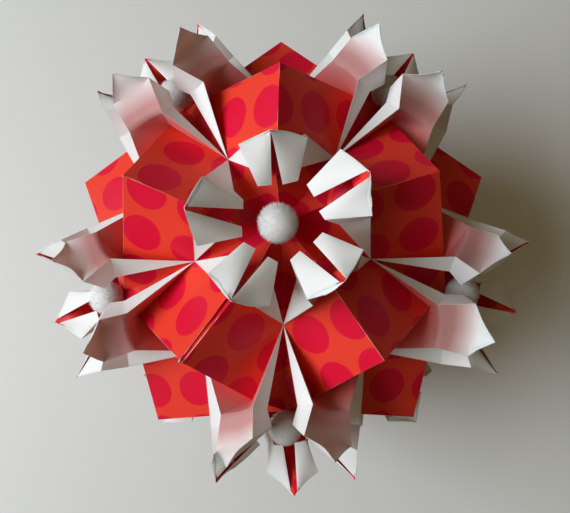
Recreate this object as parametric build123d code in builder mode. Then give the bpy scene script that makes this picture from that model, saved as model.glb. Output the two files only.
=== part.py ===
from build123d import *
import math
import os

import numpy as np

# Kusudama paper ball: thirty folded paper units and twelve pom-poms.
# Every unit is one sheet. Two units share each ridge, three meet at the tip
# of each box, and five close round each flower with a pom-pom in its cup.
# Millimetres. The ball's centre is the origin and +Z is a flower's axis.

# Driving dimensions
ridge = 44.0            # box ridge, from the box's tip to the flower's centre
paper = 0.30            # wall of the folded sheet, two plies of 80 g paper
seam = 0.12             # half the gap between two units along a ridge
pompom_diameter = 10.0
glue_gap = 0.05         # between the cup and the pom-pom
widest_mitre = 2.0      # how far a fold's corner may reach, in half walls

# Petal: reach is measured out from the flower's axis, rise up from its centre,
# and half is half of the petal's width there.
crease_reach, crease_rise, crease_half = 21.7, 4.8, 6.6    # first bend
bend_reach, bend_rise = 20.3, 5.2                          # the same, mid petal
rim_reach, rim_rise, rim_half = 19.0, 12.8, 8.5            # corner of the rim
neck_reach, neck_rise = 18.2, 13.1                         # where the tip starts to curl
curl_reach, curl_rise = 18.9, 16.9                         # mid curl
tip_reach, tip_rise = 21.0, 20.0                           # tip of the petal
brow_reach, brow_rise, brow_half = 20.9, 16.8, 4.6         # rim between corner and tip
strip_reach, strip_rise, strip_half = 13.8, 3.5, 5.9       # lower corner of the side strip
flap_reach, flap_rise = 9.3, 5.6                           # inner end of the folded flap
flap_outer_half, flap_inner_half = 4.6, 2.0

# Icosahedron under the folds
edge = ridge * math.sqrt(2)                                # between two flower centres
golden = (1 + math.sqrt(5)) / 2
flower_radius = edge / 4 * math.sqrt(10 + 2 * math.sqrt(5))
valley_radius = edge * golden / 2
face_radius = edge * golden ** 2 / (2 * math.sqrt(3))
tip_radius = face_radius + ridge / math.sqrt(3)            # a right-angled corner on each face
flower_tilt = math.acos(valley_radius / flower_radius)
box_tilt = math.acos(face_radius / valley_radius)


def unit_vector(v):
    return v / np.linalg.norm(v)


def folded_sheet(points, panels, stay, thickness):
    """One folded sheet as a closed solid. points are the fold corners on the
    sheet's middle surface, panels the triangles between them, counterclockwise
    from outside, and stay the planes in which a corner's edge must remain."""
    normals = {name: [] for name in points}
    for a, b, c in panels:
        normal = unit_vector(np.cross(points[b] - points[a], points[c] - points[a]))
        for name in (a, b, c):
            normals[name].append(normal)
    half_wall = {}
    for name, found in normals.items():
        kept = np.eye(3)
        if name in stay:
            planes = np.array(stay[name])
            kept = kept - np.linalg.pinv(planes) @ planes
        reach = np.linalg.pinv(np.array(found) @ kept, rcond=0.06)
        step = kept @ reach @ np.full(len(found), thickness / 2)
        half_wall[name] = step * min(1, widest_mitre * thickness / 2 / np.linalg.norm(step))
    outside = {name: points[name] + half_wall[name] for name in points}
    inside = {name: points[name] - half_wall[name] for name in points}
    triangles = []
    directed = {(p[i], p[(i + 1) % 3]) for p in panels for i in range(3)}
    for a, b, c in panels:
        triangles.append((outside[a], outside[b], outside[c]))
        triangles.append((inside[c], inside[b], inside[a]))
    for a, b in sorted(directed):
        if (b, a) not in directed:
            triangles.append((outside[b], outside[a], inside[a]))
            triangles.append((outside[b], inside[a], inside[b]))
    faces = [Face(Wire.make_polygon([Vector(*p) for p in t])) for t in triangles]
    return Solid(Shell(faces))


# Corners of a quarter of the unit. Its own frame has +Z out through the middle
# of the valley, the flower toward +X and the box toward +Y.
flower_axis = np.array([math.sin(flower_tilt), 0, math.cos(flower_tilt)])
far_axis = flower_axis * [-1, 1, 1]
box_axis = np.array([0, math.sin(box_tilt), math.cos(box_tilt)])
other_box = box_axis * [1, -1, 1]
valley = np.array([0, 0, valley_radius])
out = unit_vector(box_axis - flower_axis * box_axis.dot(flower_axis))
side = unit_vector(valley - out * valley.dot(out) - flower_axis * valley.dot(flower_axis))


def petal_point(reach, half, rise):
    return flower_axis * (flower_radius + rise) + out * reach + side * half


def inset(point, planes):
    """Moves a corner inside its seam planes by the seam."""
    move = np.linalg.lstsq(np.array(planes), np.full(len(planes), seam), rcond=None)[0]
    return point + move


def seam_plane(flower, box):
    normal = unit_vector(np.cross(flower, box))
    return normal * np.sign(normal.dot(valley))


# The base: two right-angled box faces that meet in the valley
seams = {
    "flower": [seam_plane(flower_axis, box_axis), seam_plane(flower_axis, other_box)],
    "far_flower": [seam_plane(far_axis, box_axis), seam_plane(far_axis, other_box)],
    "box": [seam_plane(flower_axis, box_axis), seam_plane(far_axis, box_axis)],
    "other_box": [seam_plane(flower_axis, other_box), seam_plane(far_axis, other_box)],
}
base_points = {
    "flower": flower_axis * flower_radius,
    "far_flower": far_axis * flower_radius,
    "box": box_axis * tip_radius,
    "other_box": other_box * tip_radius,
}
base_points = {name: inset(p, seams[name]) for name, p in base_points.items()}
base_panels = [("flower", "box", "far_flower"), ("flower", "far_flower", "other_box")]

# Half a petal. Its back rises from the line between the valley and the heel,
# which lies on the ridge as far from the box's tip as the valley does.
box_tip = box_axis * tip_radius
heel_share = np.linalg.norm(valley - box_tip) / ridge
heel = box_tip + (flower_axis * flower_radius - box_tip) * heel_share
petal_points = {
    "valley": valley,
    "heel": heel + side * seam,
    "bend": petal_point(bend_reach, seam, bend_rise),
    "crease": petal_point(crease_reach, crease_half, crease_rise),
    "neck": petal_point(neck_reach, seam, neck_rise),
    "rim": petal_point(rim_reach, rim_half, rim_rise),
    "curl": petal_point(curl_reach, seam, curl_rise),
    "brow": petal_point(brow_reach, brow_half, brow_rise),
    "tip": petal_point(tip_reach, seam, tip_rise),
    "strip": petal_point(strip_reach, strip_half, strip_rise),
    "flap_outer": petal_point(flap_reach, flap_outer_half, flap_rise),
    "flap_inner": petal_point(flap_reach, flap_inner_half, flap_rise),
}
petal_panels = [
    ("valley", "crease", "heel"),
    ("heel", "crease", "bend"),
    ("bend", "crease", "neck"),
    ("crease", "rim", "neck"),
    ("neck", "rim", "curl"),
    ("rim", "brow", "curl"),
    ("brow", "tip", "curl"),
    ("crease", "valley", "strip"),
    ("crease", "strip", "flap_outer"),
    ("crease", "flap_outer", "rim"),
    ("rim", "flap_outer", "brow"),
    ("brow", "flap_outer", "flap_inner"),
    ("brow", "flap_inner", "tip"),
]
if np.cross(flower_axis, out).dot(side) < 0:
    petal_panels = [(c, b, a) for a, b, c in petal_panels]
petal_stay = {name: [side] for name in ("heel", "bend", "neck", "curl", "tip")}

with BuildPart() as folded_unit:
    add(folded_sheet(base_points, base_panels, seams, paper))
    add(folded_sheet(petal_points, petal_panels, petal_stay, paper))
    mirror(about=Plane.YZ)
    mirror(about=Plane.XZ)

# Directions of the twelve flowers: one up, one down and a ring of five near
# each, with one of the upper ring toward the front.
ring_tilt = 2 * flower_tilt
flower_axes = [Vector(0, 0, 1), Vector(0, 0, -1)]
for k in range(5):
    turn = math.radians(72 * k - 90)
    level = Vector(math.cos(turn), math.sin(turn), 0) * math.sin(ring_tilt)
    flower_axes.append(level + Vector(0, 0, math.cos(ring_tilt)))
    flower_axes.append(level * -1 - Vector(0, 0, math.cos(ring_tilt)))

os.makedirs("parts", exist_ok=True)

# Thirty units, one across each pair of neighbouring flowers
number = 0
for i, first in enumerate(flower_axes):
    for second in flower_axes[i + 1:]:
        if abs(first.get_angle(second) - math.degrees(ring_tilt)) > 1:
            continue
        number += 1
        place = Plane(origin=(0, 0, 0), x_dir=first - second, z_dir=first + second).location
        with BuildPart() as paper_unit:
            add(place * folded_unit.part)
        paper_unit.part.label = f"paper_unit_{number:02d}"
        export_step(paper_unit.part, f"parts/paper_unit_{number:02d}.step")

# Twelve pom-poms, each resting on the five ridges that meet in its cup
face_normal = unit_vector(np.cross(box_tip - valley, flower_axis * flower_radius - valley))
cup_top = flower_radius + paper / 2 / abs(face_normal.dot(flower_axis))
for k, axis in enumerate(flower_axes, start=1):
    with BuildPart() as pompom:
        with Locations(axis * (cup_top + glue_gap + pompom_diameter / 2)):
            Sphere(pompom_diameter / 2)
    pompom.part.label = f"pompom_{k:02d}"
    export_step(pompom.part, f"parts/pompom_{k:02d}.step")
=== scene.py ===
"""Looks of the kusudama paper ball: thirty folded sheets and twelve pom-poms."""
import math

import bmesh
import bpy
import numpy as np
from mathutils import Matrix, Vector


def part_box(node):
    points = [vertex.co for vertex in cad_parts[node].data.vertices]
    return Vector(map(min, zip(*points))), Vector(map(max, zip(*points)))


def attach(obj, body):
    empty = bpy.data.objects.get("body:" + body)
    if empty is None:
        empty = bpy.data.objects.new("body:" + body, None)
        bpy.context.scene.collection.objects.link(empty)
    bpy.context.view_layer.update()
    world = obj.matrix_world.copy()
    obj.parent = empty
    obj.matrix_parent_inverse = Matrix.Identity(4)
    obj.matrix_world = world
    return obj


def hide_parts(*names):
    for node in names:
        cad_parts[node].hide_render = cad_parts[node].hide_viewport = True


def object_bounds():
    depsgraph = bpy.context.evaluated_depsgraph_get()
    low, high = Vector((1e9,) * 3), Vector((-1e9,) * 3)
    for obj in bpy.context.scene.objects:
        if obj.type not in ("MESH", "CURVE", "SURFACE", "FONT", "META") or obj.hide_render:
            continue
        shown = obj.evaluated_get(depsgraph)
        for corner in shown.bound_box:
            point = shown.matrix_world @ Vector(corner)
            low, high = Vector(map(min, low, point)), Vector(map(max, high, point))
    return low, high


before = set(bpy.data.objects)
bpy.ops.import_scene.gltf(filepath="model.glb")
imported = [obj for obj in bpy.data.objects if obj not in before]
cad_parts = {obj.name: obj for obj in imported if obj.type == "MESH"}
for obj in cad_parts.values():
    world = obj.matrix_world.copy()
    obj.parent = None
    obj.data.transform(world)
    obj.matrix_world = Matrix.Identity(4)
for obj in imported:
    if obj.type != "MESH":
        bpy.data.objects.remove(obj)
cad_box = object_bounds()

MM = 0.001

# Driving sizes, as in the solids
RIDGE = 44.0 * MM
EDGE = RIDGE * math.sqrt(2)
GOLDEN = (1 + math.sqrt(5)) / 2
FLOWER_RADIUS = EDGE / 4 * math.sqrt(10 + 2 * math.sqrt(5))
VALLEY_RADIUS = EDGE * GOLDEN / 2
FACE_RADIUS = EDGE * GOLDEN ** 2 / (2 * math.sqrt(3))
TIP_RADIUS = FACE_RADIUS + RIDGE / math.sqrt(3)
FLOWER_TILT = math.acos(VALLEY_RADIUS / FLOWER_RADIUS)
HEEL_PART = 1 - math.sqrt(0.5)      # part of a ridge that lies inside the flower

SHEET = 0.14 * MM           # paper as it shows along its edges
FOLD_WIDTH = 0.13 * MM      # rounded line along a sharp fold, of slightly paler paper: partly a painted highlight
TAB_WIDTH = 4.0 * MM        # tab tucked under the neighbouring face
TAB_DEPTH = 0.35 * MM
OPEN_TAB_WIDTH = 5.0 * MM   # the same where the ridge stands open
OPEN_TAB_DEPTH = 1.3 * MM
OPEN_TAB_TAPER = 0.93       # how far toward the box's tip the open tab's inner edge goes
SHORT_OF_RIDGE = 0.05       # how far a face stops short of a closed ridge, mm
FACE_WARP = 0.3 * MM        # how far a box face's middle may stand in or out
FACE_COLUMNS = 15
CUT_ERROR = 0.25            # spread of the petals' corners, mm
ROOF_BULGE = 0.8 * MM       # how far the middle of a roof flap stands up
SHARP_FOLD = math.radians(26)
MATCH = 0.02 * MM           # how closely an edge is matched with a fold line

POMPOM_RADIUS = 5.0 * MM
POMPOM_CORE = POMPOM_RADIUS * 0.91
CORE_RINGS, CORE_AROUND = 44, 64
FIBRES = 3200
FIBRE_WIDTH = 0.1 * MM
GOLDEN_ANGLE = math.pi * (3 - math.sqrt(5))

# Petal corners in mm: reach out from the flower's axis, half width, rise above its centre,
# and how much of the petal's own lean and swing each follows
PETAL = {
    "bend": (20.3, 0.0, 5.2, 0.2),
    "crease": (21.7, 6.6, 4.8, 0.2),
    "neck": (18.4, 0.0, 12.6, 0.8),
    "rim": (19.0, 8.5, 13.2, 1.0),
    "curl": (20.0, 0.0, 16.9, 1.0),
    "brow": (20.5, 4.3, 16.0, 1.0),
    "tip": (21.2, 0.0, 19.6, 1.0),
    "strip": (13.8, 5.9, 3.5, 0.5),
    "flap_outer": (9.3, 4.9, 7.2, 1.0),
    "flap_inner": (9.3, 1.85, 7.2, 1.0),
}
HINGE = (21.0, 5.0)         # reach and rise of the line about which a petal leans

# Print: dots in staggered rows, square cells with a dot at each corner and centre
DOT_CELL = 21.0 * MM
DOT_RADIUS = 5.9 * MM

rng = np.random.default_rng(7)


def unit(v):
    return v / np.linalg.norm(v)


# Flowers, valleys and boxes

names = ["top", "under"]
axes = {"top": np.array([0, 0, 1.0]), "under": np.array([0, 0, -1.0])}
for k, name in enumerate(("front", "right", "back_right", "back_left", "left")):
    azimuth = math.radians(72 * k - 90)
    lean = 2 * FLOWER_TILT
    axes[name] = np.array([math.cos(azimuth) * math.sin(lean), math.sin(azimuth) * math.sin(lean),
                           math.cos(lean)])
    axes["far_" + name] = -axes[name]
    names += [name, "far_" + name]


def meet(a, b):
    return abs(axes[a].dot(axes[b]) - math.cos(2 * FLOWER_TILT)) < 0.01


def box_tip(*flowers):
    return unit(sum(axes[f] for f in flowers)) * TIP_RADIUS


def valley_point(a, b):
    return unit(axes[a] + axes[b]) * VALLEY_RADIUS


# Ridges that stand a little open, by flower, neighbour and the box's third flower:
# how far that face stops short of the ridge, at the tip and at the heel, mm
OPEN_RIDGE = {
    ("top", "left", "front"): (1.7, 2.6),
    ("front", "left", "top"): (0.6, 2.2),
    ("back_left", "left", "top"): (0.4, 0.9),
}

# How the petals near the viewer stand, by flower and the box's other two flowers:
# lean outward and swing about the flower's axis in degrees, extra length in mm, share of width,
# and how far from the middle its roof stops at the petal's end, mm
PETAL_POSE = {
    ("top", frozenset(("back_left", "back_right"))): (-9, 6, -1.0, 1.0, 0.1),
    ("top", frozenset(("back_left", "left"))): (2, 16, 0, 0.96, 0.5),
    ("top", frozenset(("left", "front"))): (8, 7, 0.3, 1.0, 0.1),
    ("top", frozenset(("front", "right"))): (2, 5, 0, 1.05, 1.0),
    ("top", frozenset(("right", "back_right"))): (4, 4, 0, 1.02, 1.0),
    ("front", frozenset(("left", "top"))): (1, 11, 0, 0.92, 0.4),
    ("front", frozenset(("right", "top"))): (1, -3, -0.5, 1.0, 0.4),
    ("front", frozenset(("far_back_left", "far_back_right"))): (0, 7, 1.5, 1.0, 1.5),
    ("left", frozenset(("top", "back_left"))): (-1, -2, 0, 1.0, 0.4),
    ("left", frozenset(("top", "front"))): (-1, -9, -1.5, 1.0, 0.4),
    ("back_left", frozenset(("top", "back_right"))): (-1, -4, 0.6, 1.0, 0.4),
    ("back_left", frozenset(("top", "left"))): (-1, 1, 1.2, 0.95, 0.4),
    ("back_right", frozenset(("top", "back_left"))): (-2, 3, 0.7, 0.98, 0.4),
    ("back_right", frozenset(("top", "right"))): (0, -4, -0.5, 1.0, 0.4),
    ("right", frozenset(("top", "back_right"))): (-3, 0, -1.3, 1.0, 0.4),
    ("right", frozenset(("top", "front"))): (1, 0, 0.9, 1.0, 0.4),
}


def petal_pose(flower, others):
    """The petal's own stance: lean, swing, extra length, width, and its roof's gap at the end."""
    key = (flower, frozenset(others))
    if key not in PETAL_POSE:
        PETAL_POSE[key] = (rng.normal(0, 3), rng.normal(0, 3), rng.normal(0, 0.6), rng.normal(1, 0.04),
                           rng.uniform(0.3, 1.1))
    return PETAL_POSE[key]


def heel_point(flower, partner, other):
    """Lower end of a ridge, which goes along with its petal's swing."""
    centre = axes[flower] * FLOWER_RADIUS
    heel = centre + (box_tip(flower, partner, other) - centre) * HEEL_PART
    swing = math.radians(petal_pose(flower, (partner, other))[1])
    return np.array(Matrix.Rotation(swing, 3, Vector(axes[flower])) @ Vector(heel))


def ridge_point(flower, partner, other, t):
    """A point on a ridge: t is 0 at the flower's centre and 1 at the box's tip."""
    centre = axes[flower] * FLOWER_RADIUS
    heel = heel_point(flower, partner, other)
    if t <= HEEL_PART:
        return centre + (heel - centre) * t / HEEL_PART
    return heel + (box_tip(flower, partner, other) - heel) * (t - HEEL_PART) / (1 - HEEL_PART)


def face_edge(flower, partner, other, t):
    """The same point as the face toward partner has it, a little short of the ridge."""
    point = ridge_point(flower, partner, other, t)
    at_tip, at_heel = SHORT_OF_RIDGE, SHORT_OF_RIDGE
    if t > HEEL_PART:
        at_tip, at_heel = OPEN_RIDGE.get((flower, partner, other), (at_tip, at_heel))
    short = at_heel + (at_tip - at_heel) * (t - HEEL_PART) / (1 - HEEL_PART)
    return point + unit(valley_point(flower, partner) - heel_point(flower, partner, other)) * short * MM


def spline(points, count):
    """Points along a smooth curve through the given ones."""
    p = [2 * points[0] - points[1]] + list(points) + [2 * points[-1] - points[-2]]
    line = []
    for i in range(1, len(p) - 2):
        a, b, c, d = p[i - 1:i + 3]
        for t in np.linspace(0, 1, count, endpoint=False):
            line.append(0.5 * (2 * b + (c - a) * t + (2 * a - 5 * b + 4 * c - d) * t ** 2
                               + (3 * b - a - 3 * c + d) * t ** 3))
    line.append(p[-2])
    return line


def straight(a, b, count):
    return [a + (b - a) * t for t in np.linspace(0, 1, count)]


# Faces of a sheet by what shows outside; the next one in the list of materials shows inside.
# PLAIN_INSIDE is the step from a slot to the one that is white on the inside too.
PRINT, WHITE, FOLD, BACK = 0, 1, 4, 9
PLAIN_INSIDE = 4
NEVER = 99


class Sheet:
    """Vertices, faces and print coordinates of one object."""

    def __init__(self):
        self.verts, self.faces, self.slots, self.prints = [], [], [], []
        self.folds, self.bends = [], []

    def grid(self, rows, slot, prints, flip, plain_from=NEVER):
        """A patch of quads. rows and prints are lists of equally long rows. Near the petal's rim,
        where two layers lie together, plain white shows on the inside too: plain_from is the
        first such column."""
        start = len(self.verts)
        width = len(rows[0])
        for row in rows:
            self.verts.extend(row)
        for i in range(len(rows) - 1):
            for j in range(width - 1):
                ids = [(i, j), (i, j + 1), (i + 1, j + 1), (i + 1, j)]
                if flip:
                    ids.reverse()
                self.faces.append([start + a * width + b for a, b in ids])
                self.slots.append(slot + PLAIN_INSIDE if j >= plain_from else slot)
                self.prints.append([prints[a][b] for a, b in ids])


def bulged(rows, height, up):
    """Lifts a patch's middle by height along its normal, to the side that up is on."""
    rows = [list(r) for r in rows]
    n, m = len(rows), len(rows[0])
    normal = unit(np.cross(rows[0][-1] - rows[-1][0], rows[-1][-1] - rows[0][0]))
    normal *= 1 if normal.dot(up) > 0 else -1
    for i in range(n):
        for j in range(m):
            lift = 16 * (i / (n - 1)) * (1 - i / (n - 1)) * (j / (m - 1)) * (1 - j / (m - 1))
            rows[i][j] = rows[i][j] + normal * height * lift
    return rows


def own_prints(rows):
    """Print coordinates measured along a patch's own rows."""
    lengths = np.cumsum([0] + [np.linalg.norm(b[0] - a[0]) for a, b in zip(rows, rows[1:])])
    return [[(s, np.linalg.norm(v - r[0])) for v in r] for s, r in zip(lengths, rows)]


class Petal:
    """The petal of a flower on the box with partner and other; this half is toward partner."""

    def __init__(self, flower, partner, other):
        self.axis = axes[flower]
        tip = box_tip(flower, partner, other)
        self.out = unit(tip - self.axis * tip.dot(self.axis))
        self.across = np.cross(self.axis, self.out)
        self.valley = valley_point(flower, partner)
        self.half = 1 if self.across.dot(self.valley) > 0 else -1
        self.lean, self.swing, self.longer, self.wide, self.gap = petal_pose(flower, (partner, other))
        self.foot = heel_point(flower, partner, other)
        self.point = {}
        for name, (reach, width, rise, share) in PETAL.items():
            if width:
                reach += rng.normal(0, CUT_ERROR)
                width = width * self.wide + rng.normal(0, CUT_ERROR)
                rise += rng.normal(0, CUT_ERROR)
            self.point[name] = self.place(reach, width, rise, share)

    def place(self, reach, width, rise, share):
        """A corner of the petal, leant and swung by its share of the petal's own stance."""
        across = self.half * width
        rise += self.longer * max(rise - HINGE[1], 0) / 15
        a = math.radians(self.lean) * share
        x, z = reach - HINGE[0], rise - HINGE[1]
        reach = HINGE[0] + x * math.cos(a) + z * math.sin(a)
        rise = HINGE[1] + z * math.cos(a) - x * math.sin(a)
        b = math.radians(self.swing) * share
        reach, across = (reach * math.cos(b) - across * math.sin(b),
                         reach * math.sin(b) + across * math.cos(b))
        return (self.axis * (FLOWER_RADIUS + rise * MM) + self.out * reach * MM
                + self.across * across * MM)

    def arch(self, middle, outer, count):
        """From a point on the petal's middle to one on its edge, level at the middle."""
        gap = outer - middle
        level = self.across * gap.dot(self.across)
        return [middle + level * t + (gap - level) * t ** 2 for t in np.linspace(0, 1, count)]


def half_petal(sheet, petal):
    """One half of a petal: its back, its side, and the roof flap folded in over the cup."""
    p = petal.point
    flip = petal.half < 0
    steps, pieces, across = 7, 6, 8
    bend_line = petal.arch(p["bend"], p["crease"], across)

    # below the crease the white layer comes out from under the box face
    low_back = [straight(a, b, across) for a, b in
                zip(straight(petal.foot, p["crease"], steps), straight(petal.valley, p["crease"], steps))]
    wedge = [[petal.foot + (v - petal.foot) * t for v in bend_line] for t in np.linspace(0, 1, steps)]

    middle = spline([p["bend"], p["neck"], p["curl"], p["tip"]], pieces)
    outer = spline([p["crease"], p["rim"]], pieces)[:-1] + spline([p["rim"], p["brow"], p["tip"]], pieces)
    back = [petal.arch(a, b, across) for a, b in zip(middle, outer)]

    edge = straight(petal.valley, p["crease"], steps)[:-1] + outer
    low = straight(petal.valley, p["strip"], steps)[:-1]
    low += straight(p["strip"], p["flap_outer"], pieces + 1)
    side = [straight(a, b, 5) for a, b in zip(edge[:steps + pieces], low)]

    # the roof's rim stops a little short of the petal's tip
    rim_line = outer[pieces:]
    short = petal.gap * MM
    while short > np.linalg.norm(rim_line[-2] - rim_line[-1]):
        short -= np.linalg.norm(rim_line[-2] - rim_line[-1])
        rim_line.pop()
    rim_line[-1] = rim_line[-1] + unit(rim_line[-2] - rim_line[-1]) * short
    inner_line = straight(p["flap_outer"], p["flap_inner"], len(rim_line))
    roof = [straight(a, b, across) for a, b in zip(inner_line, rim_line)]
    roof = bulged(roof, ROOF_BULGE, petal.axis)

    for rows in (low_back, wedge):
        sheet.grid(rows, BACK, own_prints(rows), flip)
    sheet.grid(back, BACK, own_prints(back), flip, 4)
    sheet.grid(side, WHITE, own_prints(side), flip)
    sheet.grid(roof, WHITE, own_prints(roof), not flip, 5)
    sheet.folds.append(edge)
    sheet.folds.append(rim_line)
    sheet.bends.append(bend_line)


def box_face(sheet, first, second, third, x, y):
    """One printed face between two flowers, up to the box's tip; returns its print map."""
    valley = valley_point(first, second)
    tip = box_tip(first, second, third)
    rise = unit(tip - valley)
    sign = 1 if rise.dot(y) > 0 else -1
    normal = unit(np.cross(x, rise)) * sign
    normal *= 1 if normal.dot(tip) > 0 else -1
    warp = rng.uniform(-1, 1) * FACE_WARP

    def face_print(v):
        """Coordinates on the flat sheet, which goes on past the fold to the petal."""
        return ((v - valley).dot(x), (v - valley).dot(rise) * sign)

    levels = np.concatenate([np.linspace(0, HEEL_PART, 5)[:-1], np.linspace(HEEL_PART, 1, 13)])

    rows = []
    for t in levels:
        ends = face_edge(second, first, third, t), face_edge(first, second, third, t)
        row = straight(*ends, FACE_COLUMNS)
        share = np.linspace(0, 1, FACE_COLUMNS)
        lift = np.sin(math.pi * share) * math.sin(math.pi * t) * warp
        rows.append([v + normal * h for v, h in zip(row, lift)])
    flip = np.cross(rows[0][-1] - rows[0][0], rise).dot(tip) > 0
    sheet.grid(rows, PRINT, [[face_print(v) for v in r] for r in rows], not flip)
    return face_print


def tab(sheet, flower, partner, other, face_print):
    """A strip that runs on round the ridge and under the next face."""
    tip = box_tip(flower, partner, other)
    open_ridge = (flower, other, partner) in OPEN_RIDGE
    along_face = unit(valley_point(flower, other) - heel_point(flower, other, partner))
    rows = []
    for t in np.linspace(HEEL_PART, 1.0 if open_ridge else 0.97, 10):
        near = ridge_point(flower, partner, other, t)
        beyond = ridge_point(other, partner, flower, t) - near
        far = near + beyond * min(0.7, TAB_WIDTH / max(np.linalg.norm(beyond), 0.1 * MM))
        near_depth, far_depth = TAB_DEPTH, TAB_DEPTH
        if open_ridge:
            far = ridge_point(flower, partner, other, t * OPEN_TAB_TAPER) + along_face * OPEN_TAB_WIDTH
            near_depth += (OPEN_TAB_DEPTH - TAB_DEPTH) * (1 - t ** 6)
            far_depth = 2 * OPEN_TAB_DEPTH
        rows.append(straight(near - unit(tip) * near_depth, far - unit(tip) * far_depth, 4))
    normal = np.cross(rows[0][-1] - rows[0][0], rows[-1][0] - rows[0][0])
    sheet.grid(rows, PRINT, [[face_print(v) for v in r] for r in rows], normal.dot(tip) < 0)


# Materials

def new_material(name):
    m = bpy.data.materials.new(name)
    m.use_nodes = True
    tree = m.node_tree
    return m, tree, tree.nodes["Principled BSDF"]


def texture(tree, scale, detail):
    n = tree.nodes.new("ShaderNodeTexNoise")
    n.inputs["Scale"].default_value = scale
    n.inputs["Detail"].default_value = detail
    coords = tree.nodes.new("ShaderNodeTexCoord")
    tree.links.new(coords.outputs["Object"], n.inputs["Vector"])
    return n.outputs["Fac"]


def math_node(tree, operation, a, b=None):
    n = tree.nodes.new("ShaderNodeMath")
    n.operation = operation
    for i, v in enumerate((a, b)):
        if v is None:
            continue
        if isinstance(v, (int, float)):
            n.inputs[i].default_value = v
        else:
            tree.links.new(v, n.inputs[i])
    return n.outputs[0]


def step_node(tree, value, low, high):
    n = tree.nodes.new("ShaderNodeMapRange")
    n.inputs["From Min"].default_value = low
    n.inputs["From Max"].default_value = high
    tree.links.new(value, n.inputs["Value"])
    return n.outputs["Result"]


def mix_node(tree, factor, a, b):
    n = tree.nodes.new("ShaderNodeMix")
    n.data_type = "RGBA"
    sockets = [s for s in n.inputs if s.type == "RGBA"]
    for socket, colour in zip(sockets, (a, b)):
        if isinstance(colour, tuple):
            socket.default_value = (*colour, 1)
        else:
            tree.links.new(colour, socket)
    tree.links.new(factor, n.inputs["Factor"])
    return [s for s in n.outputs if s.type == "RGBA"][0]


def let_light_through(shader, share, tint):
    """Thin paper: some light comes out on the other side, reddened by the print."""
    shader.inputs["Subsurface Weight"].default_value = share
    shader.inputs["Subsurface Radius"].default_value = (1.0, tint, tint)
    shader.inputs["Subsurface Scale"].default_value = 0.3 * MM


def paper_bump(tree, shader, strength):
    broad = math_node(tree, "MULTIPLY", texture(tree, 90.0, 2.0), 3.0)
    total = math_node(tree, "ADD", texture(tree, 1800.0, 4.0), broad)
    bump = tree.nodes.new("ShaderNodeBump")
    bump.inputs["Strength"].default_value = strength
    bump.inputs["Distance"].default_value = 0.1 * MM
    tree.links.new(total, bump.inputs["Height"])
    tree.links.new(bump.outputs["Normal"], shader.inputs["Normal"])


# Colours, and the distances from the ball's centre between which the painted reddish shade on a petal's
# back pales to white, in m
ORANGE = (0.83, 0.052, 0.029)
CRIMSON = (0.72, 0.006, 0.039)
PAPER_WHITE = (0.865, 0.855, 0.86)
WORN = (0.92, 0.78, 0.72)
# The two back colours are painted shade: a reddish glow standing in for light bounced off and passed
# through the red print; the paper itself is white.
BACK_PAINTED_SHADE_LOW = (0.72, 0.15, 0.14)
BACK_PAINTED_SHADE_MIDDLE = (0.54, 0.26, 0.255)
BACK_SHADE_FIRST_FADE = (0.062, 0.069)
BACK_SHADE_LAST_FADE = (0.072, 0.079)
DOT_BLUR = 0.008


def dotted_print(name):
    """Crimson dots in staggered rows on orange-red, in the sheet's own coordinates."""
    m, tree, shader = new_material(name)
    uv = tree.nodes.new("ShaderNodeUVMap")
    uv.uv_map = "print"
    split = tree.nodes.new("ShaderNodeSeparateXYZ")
    tree.links.new(uv.outputs[0], split.inputs[0])
    distance = None
    for shift in (0.0, 0.5):
        parts = []
        for axis in (0, 1):
            cell = math_node(tree, "ADD", split.outputs[axis], shift)
            centred = math_node(tree, "SUBTRACT", math_node(tree, "FRACT", cell), 0.5)
            parts.append(math_node(tree, "MULTIPLY", centred, centred))
        found = math_node(tree, "SQRT", math_node(tree, "ADD", parts[0], parts[1]))
        distance = found if distance is None else math_node(tree, "MINIMUM", distance, found)
    radius = DOT_RADIUS / DOT_CELL
    outside = step_node(tree, distance, radius - DOT_BLUR, radius + DOT_BLUR)
    tree.links.new(mix_node(tree, outside, CRIMSON, ORANGE), shader.inputs["Base Color"])
    shader.inputs["Roughness"].default_value = 0.38
    shader.inputs["Specular IOR Level"].default_value = 0.2
    let_light_through(shader, 0.4, 0.8)
    paper_bump(tree, shader, 0.25)
    return m


def plain_paper(name, colour, roughness):
    m, tree, shader = new_material(name)
    mottled = mix_node(tree, texture(tree, 160.0, 3.0), tuple(c * 0.95 for c in colour), colour)
    tree.links.new(mottled, shader.inputs["Base Color"])
    shader.inputs["Roughness"].default_value = roughness
    let_light_through(shader, 0.4, 0.5)
    paper_bump(tree, shader, 0.3)
    return m


def petal_back_painted_shade():
    """White paper, painted with a reddish shade low down where it stands in the cleft, in place of red
    light that bounces off the print and comes through the paper.
    """
    m, tree, shader = new_material("petal_back_painted_shade")
    coords = tree.nodes.new("ShaderNodeTexCoord")
    length = tree.nodes.new("ShaderNodeVectorMath")
    length.operation = "LENGTH"
    tree.links.new(coords.outputs["Object"], length.inputs[0])
    wave = math_node(tree, "MULTIPLY", texture(tree, 60.0, 2.0), 3.0 * MM)
    height = math_node(tree, "ADD", length.outputs["Value"], wave)
    low = mix_node(tree, step_node(tree, height, *BACK_SHADE_FIRST_FADE), BACK_PAINTED_SHADE_LOW, BACK_PAINTED_SHADE_MIDDLE)
    colour = mix_node(tree, step_node(tree, height, *BACK_SHADE_LAST_FADE), low, PAPER_WHITE)
    tree.links.new(colour, shader.inputs["Base Color"])
    shader.inputs["Roughness"].default_value = 0.7
    let_light_through(shader, 0.7, 0.15)
    paper_bump(tree, shader, 0.3)
    return m


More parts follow.
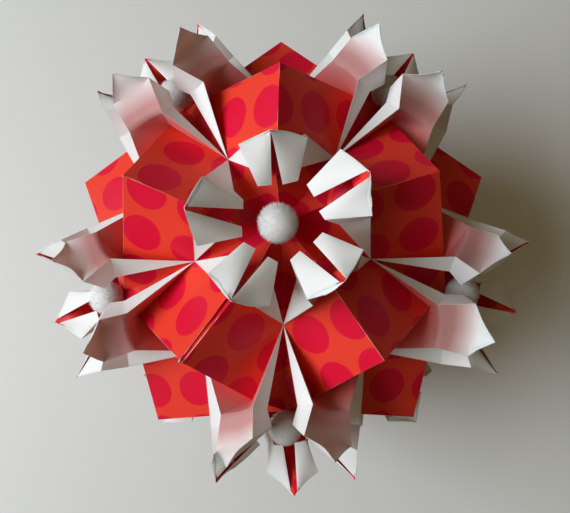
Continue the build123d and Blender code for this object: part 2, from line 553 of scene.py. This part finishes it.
def worn_edge(name):
    """Cut edges of the printed side: print with the white paper showing here and there."""
    m, tree, shader = new_material(name)
    worn = step_node(tree, texture(tree, 70.0, 3.0), 0.42, 0.52)
    tree.links.new(mix_node(tree, worn, ORANGE, WORN), shader.inputs["Base Color"])
    shader.inputs["Roughness"].default_value = 0.6
    return m


print_paper = dotted_print("dotted_print")
white = plain_paper("white_paper", PAPER_WHITE, 0.7)
# cream is the paper's cut edge; on the fold bevels its slightly paler tone is a painted highlight
cream_edge_and_fold_highlight = plain_paper("paper_edge", (0.90, 0.88, 0.86), 0.8)
ridge_edge = worn_edge("worn_edge")
back_paper_painted_shade = petal_back_painted_shade()

# By slot: outside, inside, and two steps on the cut edge; FOLD stands alone
SHEET_MATERIALS = (print_paper, white, print_paper, ridge_edge, cream_edge_and_fold_highlight,
                   white, white, cream_edge_and_fold_highlight, cream_edge_and_fold_highlight,
                   back_paper_painted_shade, print_paper, cream_edge_and_fold_highlight, cream_edge_and_fold_highlight,
                   back_paper_painted_shade, white, cream_edge_and_fold_highlight, cream_edge_and_fold_highlight)


# Sheets

# Where the dots lie on the units near the viewer: turn in degrees, then the shift of the cell
DOT_PLACE = {
    ("top", "left"): (-4, 0.08, 0.18),
    ("top", "front"): (-7, 0.53, 0.08),
    ("top", "back_left"): (-4, 0.68, 0.48),
    ("top", "back_right"): (6, 0.80, 0.35),
    ("top", "right"): (0, 0.60, 0.40),
    ("back_left", "left"): (0, 0.45, 0.25),
    ("right", "back_right"): (0, 0.73, 0.40),
    ("front", "left"): (-2, 0.75, 0.92),
}


def middles(lines):
    """Where the middles of the lines' pieces are, in steps of half a match."""
    return {tuple(int(round(v)) for v in (a + b) / MATCH)
            for line in lines for a, b in zip(line, line[1:])}


def mend(mesh, folds, bends):
    """Joins the patches, sets sharp folds, marks those that get a rounded fold line of paler paper,
    partly a painted highlight, and leaves bends soft.
    """
    b = bmesh.new()
    b.from_mesh(mesh)
    bmesh.ops.remove_doubles(b, verts=b.verts, dist=0.004 * MM)
    bmesh.ops.dissolve_degenerate(b, edges=b.edges, dist=0.002 * MM)
    weight = b.edges.layers.float.new("bevel_weight_edge")
    sharp, soft = middles(folds), middles(bends)
    near = [(i, j, k) for i in (-1, 0, 1) for j in (-1, 0, 1) for k in (-1, 0, 1)]
    for e in b.edges:
        if len(e.link_faces) != 2:
            e.smooth = False
            continue
        middle = [int(round(v)) for v in (e.verts[0].co + e.verts[1].co) / MATCH]
        around = [(middle[0] + i, middle[1] + j, middle[2] + k) for i, j, k in near]
        if any(m in sharp for m in around):
            e[weight] = 1.0
        if e.calc_face_angle(0) > SHARP_FOLD and not any(m in soft for m in around):
            e.smooth = False
    for f in b.faces:
        f.smooth = True
    b.to_mesh(mesh)
    b.free()


def make_sheet(name, sheet, place):
    """The object of one folded sheet; place turns and shifts the print on it."""
    mesh = bpy.data.meshes.new(name)
    mesh.from_pydata([tuple(v) for v in sheet.verts], [], sheet.faces)
    layer = mesh.uv_layers.new(name="print")
    turn, shift_x, shift_y = place
    c, s = math.cos(math.radians(turn)), math.sin(math.radians(turn))
    k = 0
    for corners in sheet.prints:
        for u, v in corners:
            layer.data[k].uv = ((c * u + s * v) / DOT_CELL - shift_x,
                                (c * v - s * u) / DOT_CELL - shift_y)
            k += 1
    for polygon, slot in zip(mesh.polygons, sheet.slots):
        polygon.material_index = slot
    for m in SHEET_MATERIALS:
        mesh.materials.append(m)
    obj = bpy.data.objects.new(name, mesh)
    bpy.context.scene.collection.objects.link(obj)
    mend(mesh, sheet.folds, sheet.bends)
    # The fold bevels take the paler edge paper: a painted highlight on top of the light that the rounded
    # fold catches.
    bevel = obj.modifiers.new("folds", "BEVEL")
    bevel.limit_method = "WEIGHT"
    bevel.width = FOLD_WIDTH
    bevel.segments = 1
    bevel.material = FOLD
    solid = obj.modifiers.new("paper", "SOLIDIFY")
    solid.thickness = SHEET
    solid.offset = -1
    solid.material_offset = 1
    solid.material_offset_rim = 3
    return obj


number = 0
for i, first in enumerate(names):
    for second in names[i + 1:]:
        if not meet(first, second):
            continue
        number += 1
        x = unit(axes[first] - axes[second])
        y = np.cross(unit(axes[first] + axes[second]), x)
        sheet = Sheet()
        thirds = [n for n in names if meet(n, first) and meet(n, second)]
        for third in thirds:
            face_print = box_face(sheet, first, second, third, x, y)
            for flower, partner in ((first, second), (second, first)):
                petal = Petal(flower, partner, third)
                half_petal(sheet, petal)
                open_beyond = (flower, third, partner) in OPEN_RIDGE
                if open_beyond or (petal.half > 0 and (flower, partner, third) not in OPEN_RIDGE):
                    tab(sheet, flower, partner, third, face_print)
        place = DOT_PLACE.get((first, second), (rng.uniform(-4, 4), *rng.uniform(0, 1, 2)))
        obj = make_sheet(f"sheet_{number:02d}", sheet, place)
        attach(obj, "root")
        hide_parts(f"paper_unit_{number:02d}")


# Pom-poms: a dense core with a short pile

def pile_material(name, low, high, inside):
    """Soft white pile, mottled from low to high; inside is the share of light that gets into it."""
    m, tree, shader = new_material(name)
    fine = math_node(tree, "MULTIPLY", texture(tree, 1500.0, 2.0), texture(tree, 3500.0, 2.0))
    colour = mix_node(tree, step_node(tree, fine, 0.12, 0.38), low, high)
    tree.links.new(colour, shader.inputs["Base Color"])
    shader.inputs["Roughness"].default_value = 0.9
    shader.inputs["Sheen Weight"].default_value = 0.6
    bump = tree.nodes.new("ShaderNodeBump")
    bump.inputs["Strength"].default_value = 0.5
    bump.inputs["Distance"].default_value = 0.3 * MM
    tree.links.new(fine, bump.inputs["Height"])
    tree.links.new(bump.outputs["Normal"], shader.inputs["Normal"])
    shader.inputs["Subsurface Weight"].default_value = inside
    shader.inputs["Subsurface Radius"].default_value = (1.0, 1.0, 1.0)
    shader.inputs["Subsurface Scale"].default_value = 1.2 * MM
    return m


pile = pile_material("pile", (0.95, 0.94, 0.96), (1.0, 1.0, 1.0), 0.0)
pile_root = pile_material("pile_root", (0.92, 0.90, 0.92), (1.0, 0.99, 1.0), 1.0)


def pompom(name, centre):
    """A dense core and fibres that stand out from it, shaded as one ball that light gets into."""
    axis = unit(centre)
    toward = unit(axis + np.array([0, 0, 4.0])) if axis[2] > 0 else axis
    verts, faces = [], []
    for i in range(CORE_RINGS + 1):
        a = math.pi * i / CORE_RINGS
        for j in range(CORE_AROUND):
            b = 2 * math.pi * j / CORE_AROUND
            d = np.array([math.sin(a) * math.cos(b), math.sin(a) * math.sin(b), math.cos(a)])
            verts.append(centre + d * POMPOM_CORE * (1 + rng.uniform(-0.03, 0.03) * math.sin(a)))
    for i in range(CORE_RINGS):
        upper, lower = i * CORE_AROUND, (i + 1) * CORE_AROUND
        for j in range(CORE_AROUND):
            k = (j + 1) % CORE_AROUND
            faces.append([upper + j, lower + j, lower + k, upper + k])
    core_faces = len(faces)

    # fibres spread evenly, each leaning its own way
    for i in range(FIBRES):
        z = 1 - 2 * (i + 0.5) / FIBRES
        a = GOLDEN_ANGLE * i + rng.normal(0, 0.05)
        r = math.sqrt(max(0, 1 - z * z))
        d = np.array([r * math.cos(a), r * math.sin(a), z])
        lean = rng.normal(0, 1, 3)
        lean = unit(lean - d * lean.dot(d))
        across = np.cross(lean, d) * FIBRE_WIDTH / 2
        root = centre + d * POMPOM_CORE * 0.99
        bend = root + (d * 0.3 + lean * 0.15) * MM
        top = root + (d * rng.uniform(0.5, 1.1) + lean * rng.uniform(0.2, 0.6)) * MM
        k = len(verts)
        verts += [root - across, root + across, bend + across, bend - across, top]
        pair = [[k, k + 1, k + 2, k + 3], [k + 3, k + 2, k + 4]]
        if np.cross(verts[k + 1] - verts[k], verts[k + 2] - verts[k]).dot(toward) < 0:
            pair = [p[::-1] for p in pair]
        faces += pair
    mesh = bpy.data.meshes.new(name)
    mesh.from_pydata([tuple(v) for v in verts], [], faces)
    mesh.polygons.foreach_set("use_smooth", [True] * len(mesh.polygons))
    bent = [unit(unit(v - centre) + 0.7 * unit(toward)) for v in verts]
    mesh.normals_split_custom_set_from_vertices([tuple(n) for n in bent])
    mesh.materials.append(pile)
    mesh.materials.append(pile_root)
    for polygon in mesh.polygons[:core_faces]:
        polygon.material_index = 1
    obj = bpy.data.objects.new(name, mesh)
    bpy.context.scene.collection.objects.link(obj)
    return obj


TOP_POMPOM_SHIFT = np.array([-0.8, -0.8, 0.0]) * MM     # glued a little off the middle

for k in range(1, 13):
    low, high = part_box(f"pompom_{k:02d}")
    place = (np.array(low) + np.array(high)) / 2
    if unit(place)[2] > 0.99:
        place += TOP_POMPOM_SHIFT
    obj = pompom(f"pompom_pile_{k:02d}", place)
    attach(obj, "root")
    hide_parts(f"pompom_{k:02d}")


# Floor, light and camera

FLOOR_REACH = 0.9           # m, from the middle to each side

floor_mesh = bpy.data.meshes.new("floor")
floor_corners = [(x * FLOOR_REACH, y * FLOOR_REACH, cad_box[0][2])
                 for x, y in ((-1, -1), (1, -1), (1, 1), (-1, 1))]
floor_mesh.from_pydata(floor_corners, [], [(0, 1, 2, 3)])
floor = bpy.data.objects.new("floor", floor_mesh)
bpy.context.scene.collection.objects.link(floor)
floor_paint, tree, shader = new_material("floor_paint")
light_path = tree.nodes.new("ShaderNodeLightPath")
pale = mix_node(tree, light_path.outputs["Is Camera Ray"], (0.30, 0.24, 0.19), (0.715, 0.725, 0.72))
tree.links.new(pale, shader.inputs["Base Color"])
shader.inputs["Roughness"].default_value = 0.6
floor_mesh.materials.append(floor_paint)

world = bpy.data.worlds.new("room")
bpy.context.scene.world = world
world.use_nodes = True

# The room is palest overhead and darkest on the side away from the window, and its wall is pale
tree = world.node_tree
background = tree.nodes["Background"]
seen = tree.nodes.new("ShaderNodeLightPath").outputs["Is Camera Ray"]
tree.links.new(mix_node(tree, seen, (1.0, 0.78, 0.40), (0.62, 0.63, 0.62)), background.inputs["Color"])
coords = tree.nodes.new("ShaderNodeTexCoord")
split = tree.nodes.new("ShaderNodeSeparateXYZ")
tree.links.new(coords.outputs["Generated"], split.inputs[0])
height = math_node(tree, "MULTIPLY", split.outputs["Z"], 0.118)
side = math_node(tree, "MULTIPLY", split.outputs["X"], -0.045)
strength = math_node(tree, "ADD", math_node(tree, "ADD", height, side), 0.07)
strength = math_node(tree, "MAXIMUM", strength, 0.015)
tree.links.new(math_node(tree, "MAXIMUM", strength, seen), background.inputs["Strength"])


def area_light(name, direction, distance, size, power, colour):
    """A soft lamp in that direction from the ball, facing it."""
    data = bpy.data.lights.new(name, "AREA")
    data.shape = "RECTANGLE"
    data.size, data.size_y = size
    data.energy = power
    data.color = colour
    obj = bpy.data.objects.new(name, data)
    bpy.context.scene.collection.objects.link(obj)
    d = Vector(direction).normalized()
    obj.location = d * distance
    obj.rotation_euler = d.to_track_quat("Z", "Y").to_euler()
    return obj


area_light("window", (-1.0, -0.06, 0.88), 1.0, (0.7, 0.7), 10.9, (0.94, 1.0, 1.045))

# The photograph's view, from a fit to the boxes' tips and the valleys
camera_data = bpy.data.cameras.new("camera")
camera_data.sensor_width = 36.0
camera_data.lens = 36.48
camera = bpy.data.objects.new("camera", camera_data)
bpy.context.scene.collection.objects.link(camera)
tilt = Vector((-0.0968, -0.0089, 0.0124))
turn = Matrix.Rotation(tilt.length, 3, tilt.normalized())
place = turn.transposed() @ Vector((0.0169, -0.1329, 9.4687)) * RIDGE / 2
camera.matrix_world = Matrix.Translation(place) @ turn.transposed().to_4x4()
camera_data.clip_start = 0.01
bpy.context.scene.camera = camera

bpy.context.scene.view_settings.view_transform = "Standard"
